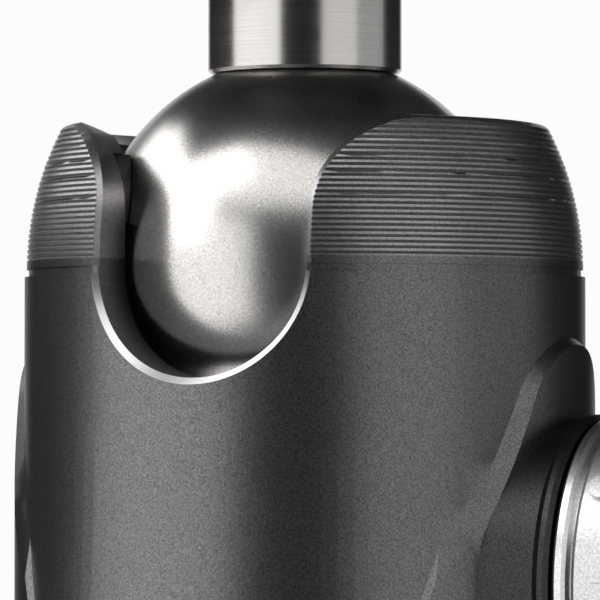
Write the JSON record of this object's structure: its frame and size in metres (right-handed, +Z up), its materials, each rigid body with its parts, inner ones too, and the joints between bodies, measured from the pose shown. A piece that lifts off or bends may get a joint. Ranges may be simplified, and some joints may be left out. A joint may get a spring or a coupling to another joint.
{
  "type": "tripod ball head",
  "caption": "Tripod ball head: ball and stem in a one-piece grooved casing with a drop notch, side lock knobs, panning base and a quick-release clamp on top.",
  "frame": {"origin": "mouth of the tripod socket, in the middle of the base's underside", "axes": "+Z up along the panning axis, -Y through the drop notch, +X along the main lock knob"},
  "size_m": [0.0892, 0.0538, 0.1127],
  "materials": {
    "casing_grey": "bead blasted and hard anodised, dark titanium grey",
    "plain_aluminium": "turned, uncoated",
    "steel": "turned stainless steel",
    "black_steel": "black oxide steel screws",
    "white_plastic": "natural acetal",
    "black_plastic": "black acetal",
    "sleeve_grey": "satin dark grey anodising",
    "silver_blasted": "bead blasted, clear anodised",
    "silver_turned": "turned and clear anodised",
    "ball_grey": "bead blasted titanium-grey anodising",
    "stem_silver": "turned satin, titanium-grey anodising",
    "level_green": "clear acrylic over yellow-green fluid",
    "rubber_black": "ribbed black rubber"
  },
  "bodies": {
    "base": {"base_plate": "casing_grey", "pan_hub": "plain_aluminium", "tripod_bush": "steel", "pan_retainer": "plain_aluminium", "retainer_screws": "black_steel", "pan_washer_lower": "white_plastic", "pan_washer_upper": "white_plastic"},
    "casing": {"casing": "casing_grey", "seat_ring": "black_plastic", "pan_collar": "plain_aluminium", "lock_block": "plain_aluminium", "knob_sleeve": "sleeve_grey", "sleeve_screws": "black_steel", "spindle_washers": "white_plastic", "pan_sleeve": "sleeve_grey"},
    "lock_knob": {"lock_knob": "silver_blasted", "lock_knob_ring": "silver_turned", "lock_spindle": "steel"},
    "friction_dial": {"friction_dial": "casing_grey"},
    "wedge": {"lock_wedge": "steel"},
    "cup": {"ball_cup": "plain_aluminium", "cup_liner": "white_plastic"},
    "ball": {"ball": "ball_grey"},
    "stem": {"stem": "stem_silver"},
    "clamp": {"clamp_body": "casing_grey", "guide_pins": "steel", "clamp_bolt": "black_steel", "level_ring": "silver_turned", "level_vial": "level_green"},
    "jaw": {"jaw": "casing_grey"},
    "clamp_knob": {"clamp_knob": "silver_blasted", "clamp_screw": "steel", "clamp_knob_cap": "casing_grey"},
    "plate": {"plate": "casing_grey", "plate_pads": "rubber_black"},
    "camera_screw": {"camera_screw": "steel"},
    "pan_knob": {"pan_knob": "silver_blasted", "pan_spindle": "steel", "pan_knob_cap": "casing_grey"},
    "pan_shoe": {"pan_shoe": "black_plastic"}
  },
  "joints": [
    {"name": "pan_turn", "type": "hinge", "parent": "base", "child": "casing", "pos_m": [0, 0, 0.0132], "axis": [0, 0, 1], "continuous": true},
    {"name": "lock_turn", "type": "hinge", "parent": "casing", "child": "lock_knob", "pos_m": [0, 0, 0.0294], "axis": [1, 0, 0], "range_deg": [0, 200]},
    {"name": "wedge_slide", "type": "slide", "parent": "casing", "child": "wedge", "axis": [-1, 0, 0], "range_m": [0, 0.000833]},
    {"name": "cup_lift", "type": "slide", "parent": "casing", "child": "cup", "axis": [0, 0, -1], "range_m": [0, 0.00017]},
    {"name": "friction_set", "type": "hinge", "parent": "lock_knob", "child": "friction_dial", "pos_m": [0.045, 0, 0.0294], "axis": [1, 0, 0], "range_deg": [0, 270]},
    {"name": "pan_lock_turn", "type": "hinge", "parent": "casing", "child": "pan_knob", "pos_m": [-0.033, 0, 0.0132], "axis": [1, 0, 0], "range_deg": [0, 180.1]},
    {"name": "pan_shoe_slide", "type": "slide", "parent": "casing", "child": "pan_shoe", "axis": [1, 0, 0], "range_m": [0, 0.0005]},
    {"name": "ball_side_tilt", "type": "hinge", "parent": "casing", "child": "ball", "pos_m": [0, 0, 0.058], "axis": [0, 1, 0], "range_deg": [-23, 23]},
    {"name": "ball_front_tilt", "type": "hinge", "parent": "ball", "child": "stem", "pos_m": [0, 0, 0.058], "axis": [1, 0, 0], "range_deg": [-23, 90]},
    {"name": "ball_spin", "type": "hinge", "parent": "stem", "child": "clamp", "pos_m": [0, 0, 0.0875], "axis": [0, 0, 1], "continuous": true},
    {"name": "jaw_slide", "type": "slide", "parent": "clamp", "child": "jaw", "axis": [1, 0, 0], "range_m": [0, 0.0045]},
    {"name": "clamp_knob_turn", "type": "hinge", "parent": "jaw", "child": "clamp_knob", "pos_m": [0.03, 0, 0.0937], "axis": [1, 0, 0], "range_deg": [0, 1081]},
    {"name": "plate_slide", "type": "slide", "parent": "clamp", "child": "plate", "axis": [0, 1, 0], "range_m": [-0.052, 0.052]},
    {"name": "camera_screw_turn", "type": "hinge", "parent": "plate", "child": "camera_screw", "pos_m": [0, 0, 0.1065], "axis": [0, 0, 1], "continuous": true}
  ],
  "couplings": [
    {"joint": "lock_turn", "follows": "wedge_slide", "rad_per_m": 4188.8},
    {"joint": "cup_lift", "follows": "wedge_slide", "ratio": 0.2},
    {"joint": "pan_lock_turn", "follows": "pan_shoe_slide", "rad_per_m": 6283.2},
    {"joint": "clamp_knob_turn", "follows": "jaw_slide", "rad_per_m": 4188.8}
  ]
}
